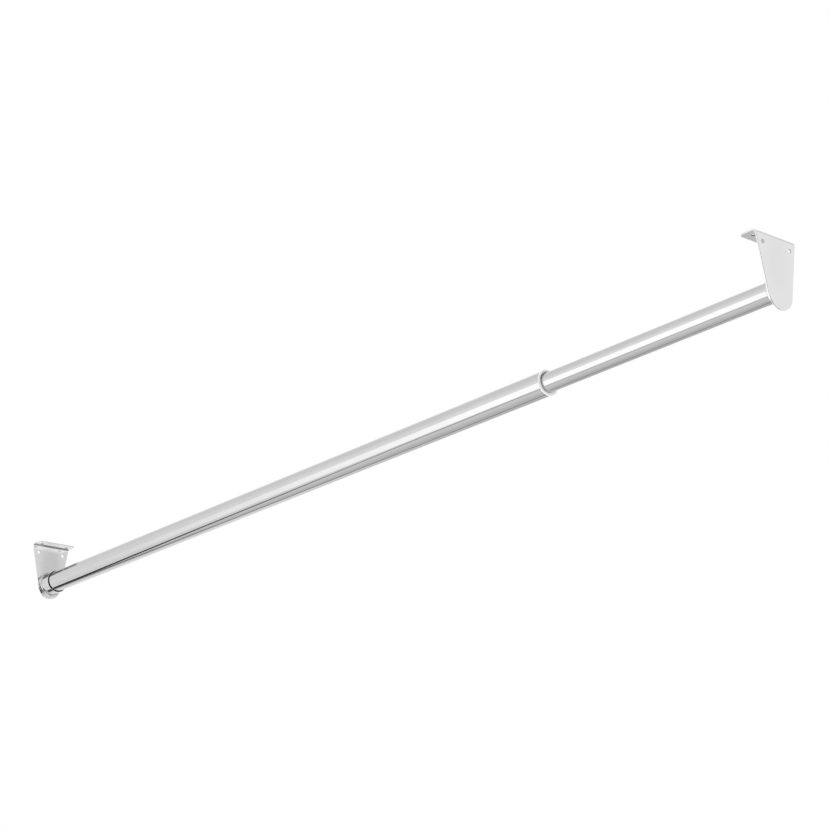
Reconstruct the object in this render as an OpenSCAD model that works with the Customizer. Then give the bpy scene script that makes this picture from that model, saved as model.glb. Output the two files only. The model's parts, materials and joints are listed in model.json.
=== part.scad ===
// Telescopic closet rod: two steel tubes that slide in each other between two angle brackets.
// The origin is on the rod's axis at the left bracket's outer face.
// +X runs along the rod to the right bracket, +Z is up.

/* [Reach] */
// Length from outer face to outer face, as pulled out here
shown_length = 1590; // [1450:5:1750]
// Length when it is pushed together
closed_length = 1219; // [1180:1:1260]
// Length when it is pulled out to its rated reach
open_length = 1829; // [1780:1:1860]
// Stretch of the inner tube that stays in the outer one at full reach
kept_overlap = 300; // [200:5:350]

/* [Tubes] */
// Outside diameter of the outer tube
outer_od = 33.3; // [32:0.1:34]
// Wall of the outer tube
outer_wall = 1; // [0.8:0.1:1.3]
// Outside diameter of the inner tube
inner_od = 25.8; // [24.5:0.1:26.5]
// Wall of the inner tube
inner_wall = 1; // [0.8:0.1:1.3]

/* [Brackets] */
// Thickness of the bracket's sheet steel
sheet = 1.9; // [1.5:0.1:2.5]
// Width of the bracket along its bend
bracket_w = 68; // [62:0.5:80]
// Height of the bracket's top above the rod's axis
bracket_top = 66; // [60:0.5:80]
// Radius of the rounded bottom
toe_r = 21; // [19:0.5:24]
// Depth of the rounded bottom's centre below the rod's axis
toe_drop = 3.8; // [3:0.1:7]
// Depth of the top flange from the bracket's outer face
flange_depth = 24.5; // [22:0.5:30]
// Radius of the flange's free corners
flange_corner_r = 6; // [2:0.5:8]
// Inside radius of the bend
bend_r = 3; // [1:0.5:4]

/* [Screw holes] */
// Diameter of every screw hole
hole_d = 5.2; // [4:0.1:6]
// Distance between the two holes of a row
hole_spacing = 45.6; // [40:0.2:48]
// Distance from the bracket's top down to the wall screws
wall_hole_drop = 13.6; // [10:0.2:16]
// Distance from the bracket's outer face in to the shelf screws
shelf_hole_in = 12.6; // [11:0.2:14]

/* [Left socket] */
// Radial gap between the outer tube and the socket's wall
socket_gap = 1.05; // [0.8:0.05:1.1]
// Wall of the drawn collar
socket_wall = 0.8; // [0.8:0.05:1]
// Length of the collar from the bracket's inner face
socket_length = 25; // [20:0.5:35]
// Width of the base flange outside the collar
socket_flange_w = 2.6; // [2.5:0.1:2.8]
// Thickness of the base flange
socket_flange_t = 1.8; // [1.2:0.1:2.4]
// Radius of the fillet between base flange and collar
socket_foot_r = 2; // [1:0.1:2]
// Length of the nylon liner in the collar
liner_length = 16; // [10:0.5:18]
// Thickness of the liner's bottom washer
liner_washer_t = 1.2; // [0.8:0.1:2]
// Radial width of the liner's bottom washer
liner_washer_w = 5; // [3:0.5:8]

/* [End ring] */
// Visible length of the moulded ring at the outer tube's mouth
ring_cap = 1.6; // [1.2:0.1:3]
// Height of the ring above the outer tube's surface
ring_proud = 0.25; // [0.1:0.05:0.8]
// Least gap between the inner tube and the ring's mouth
ring_gap = 0.1; // [0.1:0.05:0.3]
// Distance that the mouth's centre lies off the rod's axis
ring_shift = 0.6; // [0.2:0.1:1]
// Direction of that shift, in degrees up from the rod's far side
ring_shift_to = 100; // [0:5:355]
// Depth of the mouth round the inner tube
ring_recess = 3; // [2:0.1:5]
// Length of the guide sleeve inside the outer tube
ring_sleeve = 42; // [30:1:60]

/* [Glide] */
// Length of the glide's skirt on the inner tube
glide_skirt = 18; // [12:1:30]
// Thickness of the glide's end wall
glide_end_t = 3; // [2:0.1:5]
// Radial width of the glide's end wall inside the tube
glide_lip = 2.2; // [1:0.1:4]

/* [Right plug] */
// Length of the right sleeve's visible shoulder
shoulder = 6.7; // [4:0.1:12]
// Length of the sleeve inside the inner tube
sleeve_length = 28; // [20:1:40]
// Outside diameter of the steel spigot
spigot_od = 18; // [16:0.1:19]
// Wall of the spigot
spigot_wall = 1.2; // [0.8:0.1:1.6]
// Thickness of the spigot's base flange
spigot_flange_t = 1.5; // [1:0.1:2]
// Width of the spigot's base flange outside its stem
spigot_flange_w = 3.2; // [2:0.1:3.4]

/* [Fits] */
// Radial play of a round piece that turns or slides in another
running_play = 0.06; // [0.02:0.01:0.1]
// Play between end faces that turn past each other
end_play = 0.3; // [0.2:0.05:0.6]
// Room left between right bracket and end ring when closed
closed_gap = 1.6; // [0.6:0.1:2]

/* [Hidden] */
$fn = 96;
// Length by which a cutter passes the surface that it cuts
past = 1;
// Depth by which the bracket's flanks run into its round bottom, so that the two outlines cross
seam = 0.02;
// Chamfer on the lips of tubes and moulded pieces
lip = 0.4;
// Rounding of the collar's rim and of the base flange's rim
rim_r = 0.5;

// Radii across the rod
outer_r = outer_od / 2;
outer_bore_r = outer_r - outer_wall;
inner_r = inner_od / 2;
inner_bore_r = inner_r - inner_wall;
socket_bore_r = outer_r + socket_gap;
socket_r = socket_bore_r + socket_wall;
socket_flange_r = socket_r + socket_flange_w;
ring_r = outer_r + ring_proud;
ring_mouth_r = inner_r + ring_gap + ring_shift;
spigot_r = spigot_od / 2;

// Places along the rod
plate_in = sheet;
outer_start = plate_in + liner_washer_t + end_play;
ring_front = closed_length - sheet - closed_gap;
outer_end = ring_front - ring_cap;
right_in = shown_length - sheet;
shoulder_right = right_in - spigot_flange_t - end_play;
inner_end = shoulder_right - shoulder;
inner_length = open_length - closed_length + kept_overlap;
inner_start = inner_end - inner_length;
bend_out_r = bend_r + sheet;

// Turns a profile drawn as [radius, place] into a round body along +X
module along_rod() {
    rotate([0, 90, 0]) rotate_extrude() children();
}

// Round sleeve between two places along the rod, with chamfered lips
module sleeve(from, to, bore, radius, chamfer = lip) {
    along_rod() polygon([
        [bore, from], [radius - chamfer, from], [radius, from + chamfer],
        [radius, to - chamfer], [radius - chamfer, to], [bore, to]
    ]);
}

// Outline of the bracket seen along the rod: straight flanks that run into a round bottom
module bracket_outline() {
    half_w = bracket_w / 2;
    rise = bracket_top + toe_drop;
    reach = norm([half_w, rise]);
    seam_r = toe_r - seam;
    flank = atan2(rise, half_w) - acos(seam_r / reach);
    touch = [seam_r * cos(flank), seam_r * sin(flank) - toe_drop];
    translate([0, -toe_drop]) circle(r = toe_r);
    polygon([[half_w, bracket_top], touch, [-touch[0], touch[1]], [-half_w, bracket_top]]);
}

// Upright plate, cut off where the bend begins
module plate() {
    intersection() {
        rotate([90, 0, 90]) linear_extrude(sheet) bracket_outline();
        translate([-past, -bracket_w, -bracket_top])
            cube([sheet + 2 * past, 2 * bracket_w, 2 * bracket_top - bend_out_r]);
    }
}

// Quarter bend between plate and flange, with flanks that follow the plate's taper
module bend() {
    intersection() {
        translate([bend_out_r, 0, bracket_top - bend_out_r]) rotate([90, 0, 0])
            difference() {
                cylinder(r = bend_out_r, h = bracket_w, center = true);
                cylinder(r = bend_r, h = bracket_w + 2 * past, center = true);
            }
        translate([0, -bracket_w / 2, bracket_top - bend_out_r])
            cube([bend_out_r, bracket_w, bend_out_r]);
        rotate([90, 0, 90]) linear_extrude(bend_out_r) bracket_outline();
    }
}

// Flat top flange with two rounded free corners
module flange() {
    straight = flange_depth - bend_out_r - flange_corner_r;
    between = bracket_w - 2 * flange_corner_r;
    translate([bend_out_r, 0, bracket_top - sheet]) linear_extrude(sheet) {
        translate([0, -bracket_w / 2]) square([straight, bracket_w]);
        translate([0, -between / 2]) square([straight + flange_corner_r, between]);
        for (side = [-1, 1])
            translate([straight, side * between / 2]) circle(r = flange_corner_r);
    }
}

// Angle bracket with its outer face at x = 0 and its flange towards +X
module bracket() {
    difference() {
        union() {
            plate();
            bend();
            flange();
        }
        for (side = [-1, 1]) {
            translate([-past, side * hole_spacing / 2, bracket_top - wall_hole_drop])
                rotate([0, 90, 0]) cylinder(d = hole_d, h = sheet + 2 * past);
            translate([shelf_hole_in, side * hole_spacing / 2, bracket_top - sheet - past])
                cylinder(d = hole_d, h = sheet + 2 * past);
        }
    }
}

module left_bracket() {
    color("silver") bracket();
}

module right_bracket() {
    color("silver") translate([shown_length, 0, 0]) mirror([1, 0, 0]) bracket();
}

// Drawn steel socket, welded to the left bracket by its base flange
module left_socket() {
    base_top = plate_in + socket_flange_t;
    rim = plate_in + socket_length;
    color("gainsboro") along_rod() {
        translate([socket_bore_r, plate_in])
            square([socket_flange_r - rim_r - socket_bore_r, socket_flange_t]);
        translate([socket_bore_r, plate_in])
            square([socket_flange_r - socket_bore_r, socket_flange_t - rim_r]);
        translate([socket_flange_r - rim_r, base_top - rim_r]) circle(r = rim_r);
        difference() {
            translate([socket_bore_r, base_top]) square([socket_wall + socket_foot_r, socket_foot_r]);
            translate([socket_r + socket_foot_r, base_top + socket_foot_r]) circle(r = socket_foot_r);
        }
        translate([socket_bore_r, plate_in]) square([socket_wall, socket_length - rim_r]);
        translate([socket_bore_r, plate_in]) square([socket_wall - rim_r, socket_length]);
        translate([socket_r - rim_r, rim - rim_r]) circle(r = rim_r);
    }
}

// Nylon liner that centres the outer tube in the socket and carries its end
module left_liner() {
    bore = outer_r + running_play;
    color("whitesmoke") along_rod() polygon([
        [bore - liner_washer_w, plate_in], [socket_bore_r, plate_in],
        [socket_bore_r, plate_in + liner_length], [bore + lip, plate_in + liner_length],
        [bore, plate_in + liner_length - lip], [bore, plate_in + liner_washer_t],
        [bore - liner_washer_w, plate_in + liner_washer_t]
    ]);
}

module outer_tube() {
    color("lightgray") sleeve(outer_start, outer_end, outer_bore_r, outer_r);
}

// Moulded ring in the outer tube's mouth, with the guide sleeve that the inner tube runs in.
// Its mouth is cut off centre, so the gap round the inner tube is widest on one side.
module end_ring() {
    guide = inner_r + running_play;
    start = outer_end - ring_sleeve;
    shift = [ring_shift * cos(ring_shift_to), ring_shift * sin(ring_shift_to)];
    color("white") difference() {
        along_rod() polygon([
            [guide + lip, start], [outer_bore_r - lip, start], [outer_bore_r, start + lip],
            [outer_bore_r, outer_end], [ring_r, outer_end], [ring_r, ring_front - lip],
            [ring_r - lip, ring_front], [guide, ring_front], [guide, start + lip]
        ]);
        translate([ring_front - ring_recess, shift[0], shift[1]])
            rotate([0, 90, 0]) cylinder(r = ring_mouth_r, h = ring_recess + past);
    }
}

module inner_tube() {
    color("lightgray") sleeve(inner_start, inner_end, inner_bore_r, inner_r);
}

// Nylon glide on the inner tube's hidden end, running in the outer tube's bore
module glide() {
    slide_r = outer_bore_r - running_play;
    start = inner_start - glide_end_t;
    stop = inner_start + glide_skirt;
    color("white") along_rod() polygon([
        [inner_r - glide_lip, start], [slide_r - lip, start], [slide_r, start + lip],
        [slide_r, stop - lip], [slide_r - lip, stop], [inner_r, stop],
        [inner_r, inner_start], [inner_r - glide_lip, inner_start]
    ]);
}

// Nylon sleeve pressed into the inner tube's right end, with a shoulder as wide as the tube
module right_sleeve() {
    bore = spigot_r + running_play;
    start = inner_end - sleeve_length;
    color("white") along_rod() polygon([
        [bore, start], [inner_bore_r - lip, start], [inner_bore_r, start + lip],
        [inner_bore_r, inner_end], [inner_r, inner_end], [inner_r, shoulder_right - lip],
        [inner_r - lip, shoulder_right], [bore, shoulder_right]
    ]);
}

// Drawn steel spigot with a closed nose, welded to the right bracket by its base flange
module right_spigot() {
    nose = inner_end - sleeve_length;
    stem_bore = spigot_r - spigot_wall;
    flange_r = spigot_r + spigot_flange_w;
    color("gainsboro") along_rod() polygon([
        [0, nose], [spigot_r - lip, nose], [spigot_r, nose + lip],
        [spigot_r, right_in - spigot_flange_t], [flange_r, right_in - spigot_flange_t],
        [flange_r, right_in], [stem_bore, right_in], [stem_bore, nose + spigot_wall],
        [0, nose + spigot_wall]
    ]);
}

left_bracket();
left_socket();
left_liner();
outer_tube();
end_ring();
inner_tube();
glide();
right_sleeve();
right_spigot();
right_bracket();
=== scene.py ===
"""Looks of a telescopic closet rod: turned tubes and fittings, pressed brackets and their finishes."""
import json
import math

import bmesh
import bpy
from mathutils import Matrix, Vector

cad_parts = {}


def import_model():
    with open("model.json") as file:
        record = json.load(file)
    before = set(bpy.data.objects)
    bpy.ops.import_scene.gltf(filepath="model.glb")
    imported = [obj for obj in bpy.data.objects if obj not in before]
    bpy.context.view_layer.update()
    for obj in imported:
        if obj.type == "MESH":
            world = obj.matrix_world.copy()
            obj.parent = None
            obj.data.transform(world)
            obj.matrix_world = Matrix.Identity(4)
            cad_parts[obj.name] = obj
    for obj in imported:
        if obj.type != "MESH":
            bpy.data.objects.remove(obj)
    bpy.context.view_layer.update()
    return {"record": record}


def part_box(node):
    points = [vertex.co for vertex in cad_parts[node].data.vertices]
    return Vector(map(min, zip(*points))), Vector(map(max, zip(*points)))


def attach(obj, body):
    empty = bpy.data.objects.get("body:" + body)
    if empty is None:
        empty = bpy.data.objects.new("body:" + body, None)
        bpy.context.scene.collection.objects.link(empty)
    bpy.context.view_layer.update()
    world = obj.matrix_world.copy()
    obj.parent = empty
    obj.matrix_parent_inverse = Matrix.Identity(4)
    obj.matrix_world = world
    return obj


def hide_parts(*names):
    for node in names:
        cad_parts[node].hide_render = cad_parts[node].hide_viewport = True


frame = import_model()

MM = 0.001
record = frame["record"]

# Sizes that the frame doesn't show, in metres
TUBE_WALL = 1.0 * MM
TUBE_LIP_R = 0.3 * MM
SHEET = 1.9 * MM
BEND_IN_R = 3.0 * MM
TOE_R = 21.0 * MM
FLANGE_CORNER_R = 6.0 * MM
CUT_EDGE_R = 0.4 * MM
PLAY = 0.06 * MM
SOCKET_WALL = 0.8 * MM
SOCKET_BASE_T = 1.8 * MM
SOCKET_BASE_W = 2.6 * MM
SOCKET_BASE_R = 0.55 * MM
SOCKET_FOOT_R = 2.0 * MM
SOCKET_RIM_R = 0.4 * MM
LINER_BOTTOM_T = 1.2 * MM
LINER_BOTTOM_W = 5.0 * MM
RING_GAP = 0.1 * MM
RING_RECESS = 3.0 * MM
RING_NOSE_R = 0.6 * MM
RING_MOUTH_EDGE_R = 0.3 * MM
GLIDE_LIP = 2.2 * MM
MOULD_R = 0.25 * MM
SPIGOT_WALL = 1.2 * MM
SPIGOT_BASE_T = 1.5 * MM
SPIGOT_BASE_W = 3.2 * MM
SPIGOT_NOSE_R = 1.0 * MM

# The ring's mouth lies this far off centre, and this far round from the far side over the top
RING_SHIFT = 0.6 * MM
RING_SHIFT_TO = math.radians(100)

# How finely round things are drawn
SIDES = 128
HOLE_SIDES = 64
BEND_STEPS = 12
CORNER_STEPS = 12
FOOT_STEPS = 10
NOSE_STEPS = 6
RIM_STEPS = 5
LIP_STEPS = 3

# A ridge flatter than the first is shaded smooth. One sharper than the second is a cut edge to round.
SMOOTH_BELOW = math.radians(40)
CUT_EDGE_ABOVE = math.radians(50)

# Points closer than the first are one point. A point closer than the second to a place is at that place.
WELD = 0.005 * MM
NEAR = 0.02 * MM

# Turn that lays a circle's or a cylinder's axis along the rod
ALONG_ROD = (0, math.pi / 2, 0)


def clear_selection():
    """Nothing selected and no edit mode, so the next step acts on its own piece only."""
    if bpy.context.mode != "OBJECT":
        bpy.ops.object.mode_set(mode="OBJECT")
    bpy.ops.object.select_all(action="DESELECT")


def pick(piece):
    """Selects this piece alone, for the next step to act on."""
    clear_selection()
    piece.select_set(True)
    bpy.context.view_layer.objects.active = piece


def settle(name):
    """Names the new object and puts its place, turn and scale into its mesh."""
    piece = bpy.context.object
    piece.name = name
    piece.data.name = name
    bpy.ops.object.transform_apply(location=True, rotation=True, scale=True)
    return piece


def edit(piece):
    """Opens a piece in edit mode with nothing selected and returns its editable mesh."""
    pick(piece)
    bpy.ops.object.mode_set(mode="EDIT")
    bpy.ops.mesh.select_mode(type="VERT")
    bpy.ops.mesh.select_all(action="DESELECT")
    return bmesh.from_edit_mesh(piece.data)


def select_points(piece, wanted):
    """Selects the points whose place passes the test, with the edges and faces between them."""
    bpy.ops.mesh.select_all(action="DESELECT")
    mesh = bmesh.from_edit_mesh(piece.data)
    for point in mesh.verts:
        point.select_set(wanted(point.co))
    mesh.select_flush(True)
    bmesh.update_edit_mesh(piece.data)


def select_edges(piece, wanted):
    """Selects the edges whose two ends pass the test."""
    bpy.ops.mesh.select_mode(type="EDGE")
    bpy.ops.mesh.select_all(action="DESELECT")
    mesh = bmesh.from_edit_mesh(piece.data)
    for edge in mesh.edges:
        edge.select_set(all(wanted(end.co) for end in edge.verts))
    bmesh.update_edit_mesh(piece.data)


def on_circle(place, radius, y=0.0, z=0.0):
    """A test for points on a circle round the rod's axis, or round another line (y, z) along it."""
    return lambda p: abs(p.x - place) < NEAR and abs(math.hypot(p.y - y, p.z - z) - radius) < NEAR


def round_edges(rounding, steps):
    """Rounds the selected edges."""
    bpy.ops.mesh.bevel(offset=rounding, segments=steps, affect="EDGES")


def weld_up(gap=WELD):
    """Merges the doubled points of the piece in edit mode and turns its faces outwards."""
    bpy.ops.mesh.select_all(action="SELECT")
    bpy.ops.mesh.remove_doubles(threshold=gap)
    bpy.ops.mesh.normals_make_consistent(inside=False)


def apply_modifier(piece, kind, **settings):
    """Adds one modifier with its settings and applies it."""
    pick(piece)
    modifier = piece.modifiers.new(kind.title(), kind)
    for setting, value in settings.items():
        setattr(modifier, setting, value)
    bpy.ops.object.modifier_apply(modifier=modifier.name)


def cut_round(piece, place, turned, radius, depth, sides):
    """Takes a cylinder that is centred on a place out of a piece."""
    clear_selection()
    bpy.ops.mesh.primitive_cylinder_add(vertices=sides, radius=radius, depth=depth,
                                        location=place, rotation=turned)
    cutter = settle("cutter")
    apply_modifier(piece, "BOOLEAN", object=cutter, operation="DIFFERENCE", solver="EXACT")
    bpy.data.objects.remove(cutter)


def finish_surface(piece):
    """Smooth shading that stays flat on flat faces, so the plating mirrors without dents."""
    pick(piece)
    bpy.ops.object.shade_smooth_by_angle(angle=SMOOTH_BELOW)
    apply_modifier(piece, "WEIGHTED_NORMAL", mode="FACE_AREA", weight=100, keep_sharp=True)


def turn(name, outline, rims=(), capped=False):
    """Draws a circle out along the rod through an outline of (place, radius) points.

    The outline closes on itself, or has its two ends filled where capped is set.
    rims lists the rings to round, each as (place, radius, rounding, steps)."""
    clear_selection()
    place, radius = outline[0]
    bpy.ops.mesh.primitive_circle_add(vertices=SIDES, radius=radius, location=(place, 0, 0),
                                      rotation=ALONG_ROD)
    piece = settle(name)
    bpy.ops.object.mode_set(mode="EDIT")
    bpy.ops.mesh.select_all(action="SELECT")
    if capped:
        bpy.ops.mesh.edge_face_add()
    path = outline[1:] if capped else outline[1:] + outline[:1]
    for next_place, next_radius in path:
        share = next_radius / radius
        bpy.ops.mesh.extrude_region_move(TRANSFORM_OT_translate={"value": (next_place - place, 0, 0)})
        bpy.ops.transform.resize(value=(1, share, share), center_override=(next_place, 0, 0))
        place, radius = next_place, next_radius
    weld_up()
    for rim_place, rim_radius, rounding, steps in rims:
        select_edges(piece, on_circle(rim_place, rim_radius))
        round_edges(rounding, steps)
    finish_surface(piece)
    return piece


def ends(node):
    """Left end, right end and outer radius of a round CAD node."""
    low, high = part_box(node)
    return low.x, high.x, high.z


def mount(name):
    """Place and dimensions of one mount in the record."""
    found = next(m for m in record["mounts"] if m["name"] == name)
    return Vector(found["pos_m"]), found["dims"]


outer_start, outer_end, outer_r = ends("outer_tube")
inner_start, inner_end, inner_r = ends("inner_tube")
outer_bore_r = outer_r - TUBE_WALL
inner_bore_r = inner_r - TUBE_WALL


def tube(name, start, end, radius):
    """Drawn tube with both lips lightly broken."""
    bore = radius - TUBE_WALL
    outline = [(start, bore), (start, radius), (end, radius), (end, bore)]
    return turn(name, outline, [(place, r, TUBE_LIP_R, LIP_STEPS) for place, r in outline])


def left_socket():
    """Drawn socket: a collar that rises from a flat base through a generous foot."""
    start, rim, base_r = ends("left_socket")
    collar_r = base_r - SOCKET_BASE_W
    bore = collar_r - SOCKET_WALL
    base_top = start + SOCKET_BASE_T
    outline = [(start, bore), (start, base_r), (base_top, base_r), (base_top, collar_r),
               (rim, collar_r), (rim, bore)]
    rims = [(base_top, collar_r, SOCKET_FOOT_R, FOOT_STEPS), (base_top, base_r, SOCKET_BASE_R, NOSE_STEPS),
            (rim, collar_r, SOCKET_RIM_R, RIM_STEPS), (rim, bore, SOCKET_RIM_R, RIM_STEPS)]
    return turn("left_socket_plated", outline, rims)


def left_liner():
    """Moulded cup that centres the wide tube in the socket."""
    start, top, outside = ends("left_liner")
    bore = outer_r + PLAY
    bottom = start + LINER_BOTTOM_T
    outline = [(start, bore - LINER_BOTTOM_W), (start, outside), (top, outside), (top, bore),
               (bottom, bore), (bottom, bore - LINER_BOTTOM_W)]
    rims = [(top, outside, MOULD_R, LIP_STEPS), (top, bore, MOULD_R, LIP_STEPS)]
    return turn("left_liner_moulded", outline, rims)


def end_ring():
    """Moulded ring with a rounded nose over the wide tube's mouth and a guide inside it.

    Its mouth is cut off centre, so the gap round the thin tube is widest at the top."""
    start, front, ring_r = ends("end_ring")
    guide = inner_r + PLAY
    outline = [(start, guide), (start, outer_bore_r), (outer_end, outer_bore_r), (outer_end, ring_r),
               (front, ring_r), (front, guide)]
    rims = [(front, ring_r, RING_NOSE_R, NOSE_STEPS), (outer_end, ring_r, MOULD_R / 2, LIP_STEPS),
            (start, guide, MOULD_R, LIP_STEPS), (start, outer_bore_r, MOULD_R, LIP_STEPS)]
    ring = turn("end_ring_moulded", outline, rims)
    mouth_r = inner_r + RING_GAP + RING_SHIFT
    mouth_y = RING_SHIFT * math.cos(RING_SHIFT_TO)
    mouth_z = RING_SHIFT * math.sin(RING_SHIFT_TO)
    cut_round(ring, (front, mouth_y, mouth_z), ALONG_ROD, mouth_r, 2 * RING_RECESS, SIDES)
    edit(ring)
    select_edges(ring, on_circle(front, mouth_r, mouth_y, mouth_z))
    round_edges(RING_MOUTH_EDGE_R, RIM_STEPS)
    finish_surface(ring)
    return ring


def glide():
    """Moulded bush on the thin tube's hidden end."""
    start, stop, slide_r = ends("glide")
    outline = [(start, inner_r - GLIDE_LIP), (start, slide_r), (stop, slide_r), (stop, inner_r),
               (inner_start, inner_r), (inner_start, inner_r - GLIDE_LIP)]
    rims = [(start, slide_r, MOULD_R, LIP_STEPS), (stop, slide_r, MOULD_R, LIP_STEPS)]
    return turn("glide_moulded", outline, rims)


def right_sleeve():
    """Moulded sleeve in the thin tube's end, with a shoulder as wide as the tube."""
    start, shoulder_end, shoulder_r = ends("right_sleeve")
    bore = ends("right_spigot")[2] - SPIGOT_BASE_W + PLAY
    outline = [(start, bore), (start, inner_bore_r), (inner_end, inner_bore_r), (inner_end, shoulder_r),
               (shoulder_end, shoulder_r), (shoulder_end, bore)]
    rims = [(start, inner_bore_r, MOULD_R, LIP_STEPS), (shoulder_end, shoulder_r, MOULD_R, LIP_STEPS)]
    return turn("right_sleeve_moulded", outline, rims)


def right_spigot():
    """Drawn spigot with a closed nose and a flat base."""
    nose, base_end, base_r = ends("right_spigot")
    stem_r = base_r - SPIGOT_BASE_W
    bore = stem_r - SPIGOT_WALL
    base_top = base_end - SPIGOT_BASE_T
    outline = [(nose, stem_r), (base_top, stem_r), (base_top, base_r), (base_end, base_r),
               (base_end, bore), (nose + SPIGOT_WALL, bore)]
    rims = [(nose, stem_r, SPIGOT_NOSE_R, RIM_STEPS), (base_top, base_r, MOULD_R, LIP_STEPS)]
    return turn("right_spigot_plated", outline, rims, capped=True)


def bracket_blank(name):
    """Left bracket as pressed from sheet: round toe, straight flanks, bend and flange."""
    low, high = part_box("left_bracket")
    half_w, top, flange_end = high.y, high.z, high.x
    toe_z = low.z + TOE_R
    rise = top - toe_z
    # The flanks run from the top corners and touch the toe's circle at this angle
    flank = math.atan2(rise, half_w) - math.acos(TOE_R / math.hypot(half_w, rise))
    touch_y = TOE_R * math.cos(flank)
    touch_z = toe_z + TOE_R * math.sin(flank)
    bend_out_r = BEND_IN_R + SHEET
    bend_z = top - bend_out_r
    bend_step = math.pi / 2 / BEND_STEPS

    def half_at(z):
        """Half of the sheet's width at this height, where its flanks run straight."""
        return touch_y + (half_w - touch_y) * (z - touch_z) / (top - touch_z)

    # A disc for the toe, cut level where the flanks leave it
    clear_selection()
    bpy.ops.mesh.primitive_cylinder_add(vertices=SIDES, radius=TOE_R, depth=SHEET,
                                        location=(SHEET / 2, 0, toe_z), rotation=ALONG_ROD)
    piece = settle(name)
    bpy.ops.object.mode_set(mode="EDIT")
    bpy.ops.mesh.select_all(action="SELECT")
    bpy.ops.mesh.bisect(plane_co=(0, 0, touch_z), plane_no=(0, 0, 1), use_fill=True, clear_outer=True)
    # The cut face is drawn up to the bend and widened
    select_points(piece, lambda p: abs(p.z - touch_z) < NEAR)
    bpy.ops.mesh.extrude_region_move(TRANSFORM_OT_translate={"value": (0, 0, bend_z - touch_z)})
    bpy.ops.transform.resize(value=(1, half_at(bend_z) / touch_y, 1), center_override=(0, 0, bend_z))
    # The bend, widened ring by ring so that the flanks keep their slope
    bpy.ops.mesh.spin(steps=BEND_STEPS, angle=math.pi / 2, center=(bend_out_r, 0, bend_z), axis=(0, -1, 0))
    for step in range(1, BEND_STEPS + 1):
        turned = step * bend_step
        ring_z = bend_z + bend_out_r * math.sin(turned)

        def on_ring(p):
            """A test for points that the spin left at this step of the bend."""
            reach = Vector((bend_out_r - p.x, 0, p.z - bend_z))
            in_bend = reach.z > -NEAR and reach.length < bend_out_r + NEAR
            return in_bend and abs(math.atan2(reach.z, reach.x) - turned) < bend_step / 5

        select_points(piece, on_ring)
        bpy.ops.transform.resize(value=(1, half_at(ring_z) / half_at(bend_z), 1), center_override=(0, 0, 0))
    # The flange with its two rounded free corners
    select_points(piece, lambda p: abs(p.x - bend_out_r) < NEAR and p.z > top - SHEET - NEAR)
    bpy.ops.mesh.extrude_region_move(TRANSFORM_OT_translate={"value": (flange_end - bend_out_r, 0, 0)})
    for side in (-1, 1):
        select_edges(piece, lambda p: p.x > flange_end - NEAR and p.y * side > half_w - FLANGE_CORNER_R / 2)
        round_edges(FLANGE_CORNER_R, CORNER_STEPS)
    weld_up()
    clear_selection()
    return piece


def brackets():
    """The left bracket with its four holes, and the right one as its mirrored copy with its own mesh."""
    left = bracket_blank("left_bracket_plated")
    wall, wall_holes = mount("left_wall_screws")
    shelf, shelf_holes = mount("left_shelf_screws")
    through = 4 * SHEET
    for side in (-0.5, 0.5):
        y = side * wall_holes["spacing_x_mm"] * MM
        cut_round(left, (SHEET / 2, y, wall.z), ALONG_ROD, wall_holes["hole_r_mm"] * MM, through, HOLE_SIDES)
        y = side * shelf_holes["spacing_y_mm"] * MM
        cut_round(left, (shelf.x, y, shelf.z - SHEET / 2), (0, 0, 0), shelf_holes["hole_r_mm"] * MM,
                  through, HOLE_SIDES)
    apply_modifier(left, "BEVEL", width=CUT_EDGE_R, segments=LIP_STEPS, limit_method="ANGLE",
                   angle_limit=CUT_EDGE_ABOVE, use_clamp_overlap=True)
    right = left.copy()
    right.data = left.data.copy()
    right.name = "right_bracket_plated"
    right.data.name = right.name
    bpy.context.scene.collection.objects.link(right)
    edit(right)
    bpy.ops.mesh.select_all(action="SELECT")
    middle = (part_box("left_bracket")[0].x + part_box("right_bracket")[1].x) / 2
    bpy.ops.transform.resize(value=(-1, 1, 1), center_override=(middle, 0, 0))
    weld_up(WELD / 10)
    for piece in (left, right):
        finish_surface(piece)
    return left, right


# Most of a noise's values lie between these two
NOISE_SPAN = {"From Min": 0.3, "From Max": 0.7}

# Roughness of the finishes, from the smoothest spot to the dullest where there are two
CHROME_ROUGHNESS = 0.05
SHEET_ROUGHNESS = (0.13, 0.19)
DRAWN_ROUGHNESS = (0.06, 0.1)
TORN_ROUGHNESS = 0.45
FLOOR_ROUGHNESS = 0.9
NYLON_ROUGHNESS_SPREAD = 0.04
NYLON_IOR = 1.53

# Brightness of the floor in mirrors, and of the room for matt surfaces
FLOOR_IN_MIRRORS = 0.97
AMBIENT = 0.75


def linear(hex_colour):
    """An sRGB hex colour as the linear colour that a shader takes."""
    parts = [int(hex_colour[k:k + 2], 16) / 255 for k in (1, 3, 5)]
    return [p / 12.92 if p <= 0.04045 else ((p + 0.055) / 1.055) ** 2.4 for p in parts] + [1]


def add(tree, kind, links=None, inputs=None, **settings):
    """Adds a node with its settings, its constant inputs and the links that come in."""
    node = tree.nodes.new(kind)
    for setting, value in settings.items():
        setattr(node, setting, value)
    for socket, value in (inputs or {}).items():
        node.inputs[socket].default_value = value
    for socket, source in (links or {}).items():
        tree.links.new(source, node.inputs[socket])
    return node


def per_metre(millimetres):
    """Scale of a pattern whose features are this wide."""
    return 1 / (millimetres * MM)


def new_material(name):
    """An empty material, its node tree, and the place on the piece that its patterns read."""
    material = bpy.data.materials.new(name)
    material.use_nodes = True
    tree = material.node_tree
    tree.nodes.clear()
    return material, tree, add(tree, "ShaderNodeTexCoord").outputs["Object"]


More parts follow.
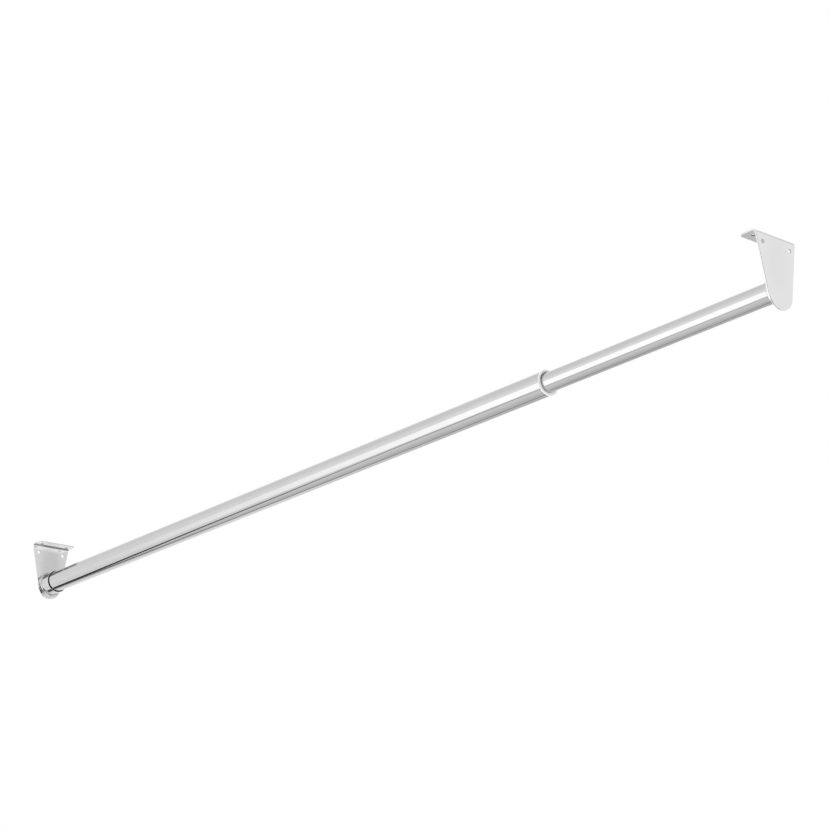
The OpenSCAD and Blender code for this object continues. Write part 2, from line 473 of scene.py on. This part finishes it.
def polished_chrome(name, streaks):
    """Chrome plate on drawn, polished steel tube: a bright mirror that stays slightly soft.

    The belt polishing leaves hairlines along the tube, and the plate pools into a very faint swell.
    streaks is how much rougher the hairlines are than the mirror between them."""
    material, tree, place = new_material(name)
    # Hairlines 0.5 mm apart and some 60 mm long, drawn coarser than the real ones so that they show
    lines_map = add(tree, "ShaderNodeMapping", {"Vector": place},
                    {"Scale": (per_metre(60), per_metre(0.5), per_metre(0.5))})
    lines = add(tree, "ShaderNodeTexNoise", {"Vector": lines_map.outputs["Vector"]},
                {"Scale": 1.0, "Detail": 3.0, "Roughness": 0.6})
    # The swell is some 35 mm from crest to crest
    swell = add(tree, "ShaderNodeTexNoise", {"Vector": place}, {"Scale": per_metre(35), "Detail": 2.0})
    haze = add(tree, "ShaderNodeMapRange", {"Value": lines.outputs["Fac"]},
               {"From Min": 0.35, "From Max": 0.75,
                "To Min": CHROME_ROUGHNESS, "To Max": CHROME_ROUGHNESS + streaks})
    bump = add(tree, "ShaderNodeBump", {"Height": lines.outputs["Fac"]},
               {"Strength": 0.02, "Distance": 0.01 * MM})
    soft = add(tree, "ShaderNodeBump", {"Height": swell.outputs["Fac"], "Normal": bump.outputs["Normal"]},
               {"Strength": 0.03, "Distance": 0.05 * MM})
    tint = add(tree, "ShaderNodeMapRange", {"Value": swell.outputs["Fac"]},
               {**NOISE_SPAN, "To Min": 0.0, "To Max": 1.0})
    colour = add(tree, "ShaderNodeMix", {"Factor": tint.outputs["Result"]},
                 {"A": linear("#CBCBCB"), "B": linear("#CECECE")}, data_type="RGBA")
    metal = add(tree, "ShaderNodeBsdfPrincipled",
                {"Base Color": colour.outputs["Result"], "Roughness": haze.outputs["Result"],
                 "Normal": soft.outputs["Normal"]}, {"Metallic": 1.0})
    add(tree, "ShaderNodeOutputMaterial", {"Surface": metal.outputs["BSDF"]})
    return material


# The plate's painted shade is a darker tall oval, 54 by 98 mm to its faint outer edge, centred above the
# axis.
# It stays even out to the first of the two half widths.
SHADE_OVAL_Z = 30.909 * MM
SHADE_OVAL_WIDTH_SHARE = 0.55
SHADE_OVAL_HALF_W = (8 * MM, 27 * MM)


def plated_sheet(name, middle):
    """Bright plating on pressed cold-rolled sheet: satin mirror over a faint rolled grain.

    The plate's middle takes the given middle colour as painted shade, which fades out to the plating's own
    colour on the flanks and the toe."""
    material, tree, place = new_material(name)
    # Rolled grain 0.4 mm wide that runs up the plate
    grain_map = add(tree, "ShaderNodeMapping", {"Vector": place},
                    {"Scale": (per_metre(4), per_metre(0.4), per_metre(12))})
    grain = add(tree, "ShaderNodeTexNoise", {"Vector": grain_map.outputs["Vector"]},
                {"Scale": 1.0, "Detail": 4.0, "Roughness": 0.65})
    # The plating's colour drifts in clouds of some 18 mm
    cloud = add(tree, "ShaderNodeTexNoise", {"Vector": place}, {"Scale": per_metre(18), "Detail": 2.0})
    smoothest, dullest = SHEET_ROUGHNESS
    haze = add(tree, "ShaderNodeMapRange", {"Value": grain.outputs["Fac"]},
               {**NOISE_SPAN, "To Min": smoothest, "To Max": dullest})
    bump = add(tree, "ShaderNodeBump", {"Height": grain.outputs["Fac"]},
               {"Strength": 0.05, "Distance": 0.02 * MM})
    colour = add(tree, "ShaderNodeMix", {"Factor": cloud.outputs["Fac"]},
                 {"A": linear("#E0E0E0"), "B": linear("#E6E6E6")}, data_type="RGBA")
    # Painted shade: a darker oval round the plate's middle, even out to the first half width and gone past
    # the second
    oval = add(tree, "ShaderNodeMapping", {"Vector": place},
               {"Location": (0, 0, -SHADE_OVAL_Z * SHADE_OVAL_WIDTH_SHARE), "Scale": (0, 1, SHADE_OVAL_WIDTH_SHARE)})
    away = add(tree, "ShaderNodeVectorMath", {0: oval.outputs["Vector"]}, operation="LENGTH")
    out_of_shade = add(tree, "ShaderNodeMapRange", {"Value": away.outputs["Value"]},
                 {"From Min": SHADE_OVAL_HALF_W[0], "From Max": SHADE_OVAL_HALF_W[1], "To Min": 0.0, "To Max": 1.0},
                 interpolation_type="SMOOTHSTEP")
    with_painted_shade = add(tree, "ShaderNodeMix", {"Factor": out_of_shade.outputs["Result"], "B": colour.outputs["Result"]},
                {"A": linear(middle)}, data_type="RGBA")
    metal = add(tree, "ShaderNodeBsdfPrincipled",
                {"Base Color": with_painted_shade.outputs["Result"], "Roughness": haze.outputs["Result"],
                 "Normal": bump.outputs["Normal"]}, {"Metallic": 1.0})
    add(tree, "ShaderNodeOutputMaterial", {"Surface": metal.outputs["BSDF"]})
    return material


def punched_edge(name, light, dark):
    """Wall of a punched hole: torn steel that the plating covers thinly, so it is duller than the faces."""
    material, tree, place = new_material(name)
    # Tear marks about 0.3 mm wide
    tears = add(tree, "ShaderNodeTexNoise", {"Vector": place}, {"Scale": per_metre(0.3), "Detail": 3.0})
    bump = add(tree, "ShaderNodeBump", {"Height": tears.outputs["Fac"]},
               {"Strength": 0.3, "Distance": 0.05 * MM})
    colour = add(tree, "ShaderNodeMix", {"Factor": tears.outputs["Fac"]},
                 {"A": linear(dark), "B": linear(light)}, data_type="RGBA")
    metal = add(tree, "ShaderNodeBsdfPrincipled",
                {"Base Color": colour.outputs["Result"], "Normal": bump.outputs["Normal"]},
                {"Metallic": 1.0, "Roughness": TORN_ROUGHNESS})
    add(tree, "ShaderNodeOutputMaterial", {"Surface": metal.outputs["BSDF"]})
    return material


def plated_drawing(name):
    """Bright plating on deep-drawn steel: a mirror with fine drawing lines along the collar."""
    material, tree, place = new_material(name)
    # Drawing lines 0.6 mm apart along the collar
    lines_map = add(tree, "ShaderNodeMapping", {"Vector": place},
                    {"Scale": (per_metre(20), per_metre(0.6), per_metre(0.6))})
    lines = add(tree, "ShaderNodeTexNoise", {"Vector": lines_map.outputs["Vector"]},
                {"Scale": 1.0, "Detail": 3.0})
    smoothest, dullest = DRAWN_ROUGHNESS
    haze = add(tree, "ShaderNodeMapRange", {"Value": lines.outputs["Fac"]},
               {**NOISE_SPAN, "To Min": smoothest, "To Max": dullest})
    bump = add(tree, "ShaderNodeBump", {"Height": lines.outputs["Fac"]},
               {"Strength": 0.03, "Distance": 0.01 * MM})
    colour = add(tree, "ShaderNodeMix", {"Factor": lines.outputs["Fac"]},
                 {"A": linear("#CDCDCD"), "B": linear("#D4D4D4")}, data_type="RGBA")
    metal = add(tree, "ShaderNodeBsdfPrincipled",
                {"Base Color": colour.outputs["Result"], "Roughness": haze.outputs["Result"],
                 "Normal": bump.outputs["Normal"]}, {"Metallic": 1.0})
    add(tree, "ShaderNodeOutputMaterial", {"Surface": metal.outputs["BSDF"]})
    return material


def moulded_nylon(name, light, dark, roughness):
    """Injection-moulded filled nylon: a satin skin, finely eroded by the tool, over pale flow clouds."""
    material, tree, place = new_material(name)
    # Spark-eroded mould texture, about 0.25 mm a grain, and flow clouds of some 9 mm
    skin = add(tree, "ShaderNodeTexNoise", {"Vector": place}, {"Scale": per_metre(0.25), "Detail": 2.0})
    flow = add(tree, "ShaderNodeTexNoise", {"Vector": place}, {"Scale": per_metre(9), "Detail": 2.0})
    colour = add(tree, "ShaderNodeMix", {"Factor": flow.outputs["Fac"]},
                 {"A": linear(dark), "B": linear(light)}, data_type="RGBA")
    haze = add(tree, "ShaderNodeMapRange", {"Value": flow.outputs["Fac"]},
               {**NOISE_SPAN, "To Min": roughness - NYLON_ROUGHNESS_SPREAD,
                "To Max": roughness + NYLON_ROUGHNESS_SPREAD})
    bump = add(tree, "ShaderNodeBump", {"Height": skin.outputs["Fac"]},
               {"Strength": 0.08, "Distance": 0.02 * MM})
    plastic = add(tree, "ShaderNodeBsdfPrincipled",
                  {"Base Color": colour.outputs["Result"], "Roughness": haze.outputs["Result"],
                   "Normal": bump.outputs["Normal"]}, {"IOR": NYLON_IOR})
    add(tree, "ShaderNodeOutputMaterial", {"Surface": plastic.outputs["BSDF"]})
    return material


def matt_floor(name):
    """Matt painted floor: pale, with a barely visible roller texture, and near white in mirrors."""
    material, tree, place = new_material(name)
    # Roller texture of some 6 mm
    roller = add(tree, "ShaderNodeTexNoise", {"Vector": place}, {"Scale": per_metre(6), "Detail": 2.0})
    colour = add(tree, "ShaderNodeMix", {"Factor": roller.outputs["Fac"]},
                 {"A": linear("#EDEDED"), "B": linear("#F1F1F1")}, data_type="RGBA")
    paint_coat = add(tree, "ShaderNodeBsdfPrincipled", {"Base Color": colour.outputs["Result"]},
                     {"Roughness": FLOOR_ROUGHNESS})
    mirrored = add(tree, "ShaderNodeEmission", inputs={"Strength": FLOOR_IN_MIRRORS})
    ray = add(tree, "ShaderNodeLightPath")
    either = add(tree, "ShaderNodeMixShader",
                 {"Fac": ray.outputs["Is Glossy Ray"], 1: paint_coat.outputs["BSDF"],
                  2: mirrored.outputs["Emission"]})
    add(tree, "ShaderNodeOutputMaterial", {"Surface": either.outputs["Shader"]})
    return material


def glowing(name, axis, here, there):
    """Lit cloth of a soft panel. here and there are (place along the axis, brightness)."""
    material, tree, place = new_material(name)
    parts = add(tree, "ShaderNodeSeparateXYZ", {"Vector": place})
    ramp = add(tree, "ShaderNodeMapRange", {"Value": parts.outputs[axis]},
               {"From Min": here[0], "From Max": there[0], "To Min": here[1], "To Max": there[1]})
    light = add(tree, "ShaderNodeEmission", {"Strength": ramp.outputs["Result"]})
    add(tree, "ShaderNodeOutputMaterial", {"Surface": light.outputs["Emission"]})
    return material


def paint(piece, material):
    """Gives the whole piece one material."""
    piece.data.materials.clear()
    piece.data.materials.append(material)


def paint_hole_walls(piece, wall_x, wall_edge, shelf_edge_painted_shade):
    """Gives the walls of a bracket's four holes the finish of a punched edge, and the flange's a darker one,
    which is painted shade.

    wall_x is where the bracket's outer face lies along the rod."""
    wall, wall_holes = mount("left_wall_screws")
    shelf = mount("left_shelf_screws")[0]
    radius = wall_holes["hole_r_mm"] * MM
    half = wall_holes["spacing_x_mm"] * MM / 2
    reach = radius + CUT_EDGE_R / 2
    # A wall's normal lies across its hole, so less than this of it points along the hole
    most_along = 0.5
    # Finish, axis along the holes, and the axis across them that isn't Y, with their place on it
    holes = ((wall_edge, "x", "z", wall.z), (shelf_edge_painted_shade, "z", "x", abs(wall_x - shelf.x)))
    for slot, (edge, along, across, place) in enumerate(holes, 1):
        piece.data.materials.append(edge)
        mesh = edit(piece)
        bpy.ops.mesh.select_mode(type="FACE")
        for face in mesh.faces:
            middle = face.calc_center_median()
            off_centre = math.hypot(abs(middle.y) - half, getattr(middle, across) - place)
            face.select_set(off_centre < reach and abs(getattr(face.normal, along)) < most_along)
        bmesh.update_edit_mesh(piece.data)
        piece.active_material_index = slot
        bpy.ops.object.material_slot_assign()
        clear_selection()


# The camera that fits the photograph: lens and sensor in mm, place in metres and turn in degrees
PHOTO_LENS = 88.414
PHOTO_SENSOR = 36
PHOTO_FROM = (2.9209, -1.6694, -0.8697)
PHOTO_TURN = (109.286, 1.312, 50.119)
# It draws nothing that is farther off than this
SEES_TO = 50


def camera():
    """The photograph's view: from below and to the right, the rod running away to the lower left."""
    data = bpy.data.cameras.new("photo_camera")
    data.lens = PHOTO_LENS
    data.sensor_width = PHOTO_SENSOR
    data.clip_end = SEES_TO
    seen_from = bpy.data.objects.new("photo_camera", data)
    seen_from.location = PHOTO_FROM
    seen_from.rotation_euler = [math.radians(angle) for angle in PHOTO_TURN]
    bpy.context.scene.collection.objects.link(seen_from)
    bpy.context.scene.camera = seen_from


def world():
    """White all round for the eye and for mirrors, a plain soft level for what it lights."""
    sky = bpy.data.worlds.new("white_studio")
    bpy.context.scene.world = sky
    sky.use_nodes = True
    tree = sky.node_tree
    tree.nodes.clear()
    ray = add(tree, "ShaderNodeLightPath")
    seen = ray.outputs["Is Camera Ray"]
    for kind in ("Is Glossy Ray", "Is Transmission Ray"):
        either = add(tree, "ShaderNodeMath", {0: seen, 1: ray.outputs[kind]}, operation="MAXIMUM")
        seen = either.outputs["Value"]
    level = add(tree, "ShaderNodeMapRange", {"Value": seen}, {"To Min": AMBIENT, "To Max": 1.0})
    white = add(tree, "ShaderNodeBackground", {"Strength": level.outputs["Result"]},
                {"Color": (1, 1, 1, 1)})
    add(tree, "ShaderNodeOutputWorld", {"Surface": white.outputs["Background"]})


def out_of_picture(panel, lights_things):
    """Marks a panel as studio equipment that only shows in mirrors, and lights things if asked."""
    panel.visible_camera = False
    panel.visible_shadow = False
    panel.visible_diffuse = lights_things


def soft_panel(name, centre, turned, size, material, lights_things=False):
    """A flat panel out of the picture."""
    clear_selection()
    bpy.ops.mesh.primitive_plane_add(size=1, location=centre, rotation=turned)
    bpy.context.object.scale = (*size, 1)
    panel = settle(name)
    paint(panel, material)
    out_of_picture(panel, lights_things)


def flat_cloth(name, outline, height, material):
    """A cloth that lies flat below the rod, cut to an outline of (x, y) points."""
    clear_selection()
    bpy.ops.mesh.primitive_circle_add(vertices=len(outline), fill_type="NGON")
    cloth = settle(name)
    paint(cloth, material)
    mesh = edit(cloth)
    for point, (x, y) in zip(mesh.verts, outline):
        point.co = (x, y, height)
    bmesh.update_edit_mesh(cloth.data)
    clear_selection()
    out_of_picture(cloth, False)


def soft_lamp(name, place, turned, size, power):
    """An area lamp that lights matt surfaces and stays out of the picture and of mirrors."""
    data = bpy.data.lights.new(name, "AREA")
    data.shape = "RECTANGLE"
    data.size, data.size_y = size
    data.energy = power
    lamp = bpy.data.objects.new(name, data)
    lamp.location = place
    lamp.rotation_euler = turned
    lamp.visible_camera = False
    lamp.visible_glossy = False
    bpy.context.scene.collection.objects.link(lamp)


def standing(angle=0):
    """Turn of an upright panel that faces across the rod, or is turned from that by so many degrees."""
    return (math.pi / 2, 0, math.radians(angle))


LYING = (0, 0, 0)
FACING_UP = (math.pi, 0, 0)

FLOOR_Z = -2.2
FLOOR_W = 120
ROD_MIDDLE_X = 0.8

# Panels along the rod at its near side: where they stand on a circle round the rod, in degrees from the
# far side over the top, their height, their cloth's name and how its light runs along X
FRONT_X = -0.85
FRONT_REACH = 1.6
FRONT_LENGTH = 3.4
FRONT_PANELS = [
    (198, 1.5, "front_panel_cloth", (-2.2, 1.05), (-0.36, 1.62)),
    (162, 0.5, "front_edge_cloth", (-2.2, 1.0), (-0.36, 1.13)),
]

# Panels beyond the rod: centre, turn, size, and how their light runs along an axis
FAR_PANELS = [
    ("far_panel", (1.5, 1.2, 0.6), standing(), (1.6, 1.8), "X", (0.7, 0.72), (2.3, 0.8)),
    ("low_far_panel", (0.15, 1.5, -0.75), standing(), (2.9, 1.0), "X", (-1.3, 0.9), (-0.4, 0.62)),
    ("flange_panel", (2.5, 1.45, -0.75), standing(-60), (1.8, 1.2), "Z", (-1.4, 1.3), (-0.1, 1.4)),
]

# The dark side of the studio, round the rod's right end: overhead, behind the camera, past the end and
# twice on the floor. Each has its centre, turn and size.
DARK_CLOTHS = [
    ("dark_high_cloth", (3.0, -0.4, 2.0), LYING, (1.8, 2.0)),
    ("dark_side", (3.4, -2.0, -0.4), standing(60), (3.0, 2.6)),
    ("dark_front_cloth", (3.6, -0.15, -0.2), standing(90), (2.0, 1.8)),
    ("dark_floor_cloth", (1.9, -1.75, -1.9), LYING, (2.2, 1.7)),
    ("dark_side_cloth", (3.3, -1.5, -1.95), LYING, (3.2, 2.2)),
]

# The grey cloth below the rod, its two dark hems and a pale fringe at its far left corner. The tubes
# mirror them as a wedge and its lines. Two cloths share the near edge.
CLOTH_Z = -2.0
HEM_Z = -1.995
NEAR_EDGE = [(-3.8, -0.3), (-2.95, -0.47), (-2.5, -0.93), (-1.9, -1.25), (-1.65, -1.7), (1.15, -1.85)]
CLOTH_OUTLINE = NEAR_EDGE + [(1.15, 2.1), (-1.6, 2.05), (-2.15, 1.68), (-2.5, 1.14), (-2.95, 0.55),
                             (-3.8, 0.5)]
NEAR_HEM_OUTLINE = NEAR_EDGE + [(1.15, -1.4), (-1.45, -1.25), (-1.75, -0.72), (-2.3, -0.35),
                                (-2.75, 0.05), (-3.8, 0.1)]
FAR_HEM_OUTLINE = [(-3.8, 0.1), (-2.75, 0.05), (-2.3, 0.55), (-1.9, 1.0), (-1.5, 1.3), (1.15, 1.35),
                   (1.15, 2.1), (-1.6, 2.05), (-2.15, 1.68), (-2.5, 1.14), (-2.95, 0.6), (-3.8, 0.55)]
FRINGE_OUTLINE = [(-3.8, 0.5), (-2.95, 0.55), (-2.5, 1.1), (-2.15, 1.64), (-1.6, 2.0),
                  (-1.6, 2.3), (-2.4, 2.3), (-2.9, 1.7), (-3.8, 1.2)]
FLAT_CLOTHS = [
    ("grey_cloth", CLOTH_OUTLINE, CLOTH_Z, "Y", (-0.9, 0.92), (1.2, 0.6)),
    ("light_fringe", FRINGE_OUTLINE, CLOTH_Z, "Y", (0.6, 0.72), (2.0, 0.86)),
    ("near_hem", NEAR_HEM_OUTLINE, HEM_Z, "X", (-2.6, 0.04), (-0.95, 0.7)),
    ("far_hem", FAR_HEM_OUTLINE, HEM_Z, "X", (-3.0, 0.1), (-2.3, 0.39)),
]


def studio():
    """Pale floor, soft panels in front of the rod, above and beyond it, and cloths for its dark lines."""
    clear_selection()
    bpy.ops.mesh.primitive_plane_add(size=FLOOR_W, location=(ROD_MIDDLE_X, 0, FLOOR_Z))
    floor = settle("floor")
    paint(floor, matt_floor("matt_floor_paint"))

    for angle, height, cloth_name, here, there in FRONT_PANELS:
        turned = math.radians(angle)
        centre = (FRONT_X, FRONT_REACH * math.cos(turned), FRONT_REACH * math.sin(turned))
        soft_panel("front_panel", centre, (turned + math.pi / 2, 0, 0), (FRONT_LENGTH, height),
                   glowing(cloth_name, "X", here, there))
    soft_panel("overhead_panel", (-1.5, -1.75, 2.0), LYING, (6.0, 4.5),
               glowing("overhead_panel_cloth", "Y", (0.5, 0.84), (-3.2, 1.05)), lights_things=True)
    for name, centre, turned, size, axis, here, there in FAR_PANELS:
        soft_panel(name, centre, turned, size, glowing(name + "_cloth", axis, here, there))
    dark_cloth = glowing("dark_cloth", "Z", (-2.0, 0.1), (1.0, 0.2))
    for name, centre, turned, size in DARK_CLOTHS:
        soft_panel(name, centre, turned, size, dark_cloth)
    # A grey strip on the floor beyond the rod, for the line at the root of the left bracket's bend
    soft_panel("dark_strip", (1.0, 1.3, -1.95), LYING, (2.0, 0.8),
               glowing("dark_strip_weave", "Z", (-2.0, 0.3), (1.0, 0.4)))
    for name, outline, height, axis, here, there in FLAT_CLOTHS:
        flat_cloth(name, outline, height, glowing(name + "_weave", axis, here, there))

    soft_lamp("overhead_lamp", (ROD_MIDDLE_X, -0.6, 1.9), LYING, (3.0, 1.5), power=25)
    # A weak fill that shines up from low on the right and keeps the pale mouldings white below
    soft_lamp("fill_lamp", (2.4, -0.4, -1.9), FACING_UP, (1.5, 1.5), power=28)


camera()
world()
studio()
bpy.context.scene.view_settings.view_transform = "Standard"

chrome = polished_chrome("polished_chrome_tube", 0.02)
chrome_inner = polished_chrome("polished_chrome_sliding_tube", 0.03)
# The left plate's oval of painted shade is darker than the right one's, which is faint
sheet_plating = plated_sheet("bright_plated_sheet_steel", "#D3D3D3")
sheet_plating_right = plated_sheet("bright_plated_sheet_steel_right", "#E0E0E0")
wall_hole_edge = punched_edge("punched_sheet_steel_edge", "#DADADA", "#C2C2C2")
# The flange's holes are seen from below at a slant; their walls' darker colours are painted shade, for the
# sheet's own shade on them
shelf_hole_painted_shade = punched_edge("punched_sheet_steel_edge_shaded", "#A0A0A0", "#808080")
drawn_plating = plated_drawing("bright_plated_drawn_steel")
ring_nylon = moulded_nylon("moulded_white_nylon", "#F0F0F0", "#EAEAEA", 0.38)
liner_nylon = moulded_nylon("moulded_natural_nylon", "#DEDDD8", "#D6D5CF", 0.45)

left, right = brackets()
made = {
    "left_bracket": (left, sheet_plating),
    "right_bracket": (right, sheet_plating_right),
    "left_socket": (left_socket(), drawn_plating),
    "left_liner": (left_liner(), liner_nylon),
    "outer_tube": (tube("outer_tube_chromed", outer_start, outer_end, outer_r), chrome),
    "end_ring": (end_ring(), ring_nylon),
    "inner_tube": (tube("inner_tube_chromed", inner_start, inner_end, inner_r), chrome_inner),
    "glide": (glide(), liner_nylon),
    "right_sleeve": (right_sleeve(), ring_nylon),
    "right_spigot": (right_spigot(), drawn_plating),
}

body_of = {node: body for body, nodes in record["behaviour"]["bodies"].items() for node in nodes}
for node, (piece, material) in made.items():
    paint(piece, material)
    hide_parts(node)
    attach(piece, body_of[node])
for piece, wall_x in ((left, 0.0), (right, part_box("right_bracket")[1].x)):
    paint_hole_walls(piece, wall_x, wall_hole_edge, shelf_hole_painted_shade)
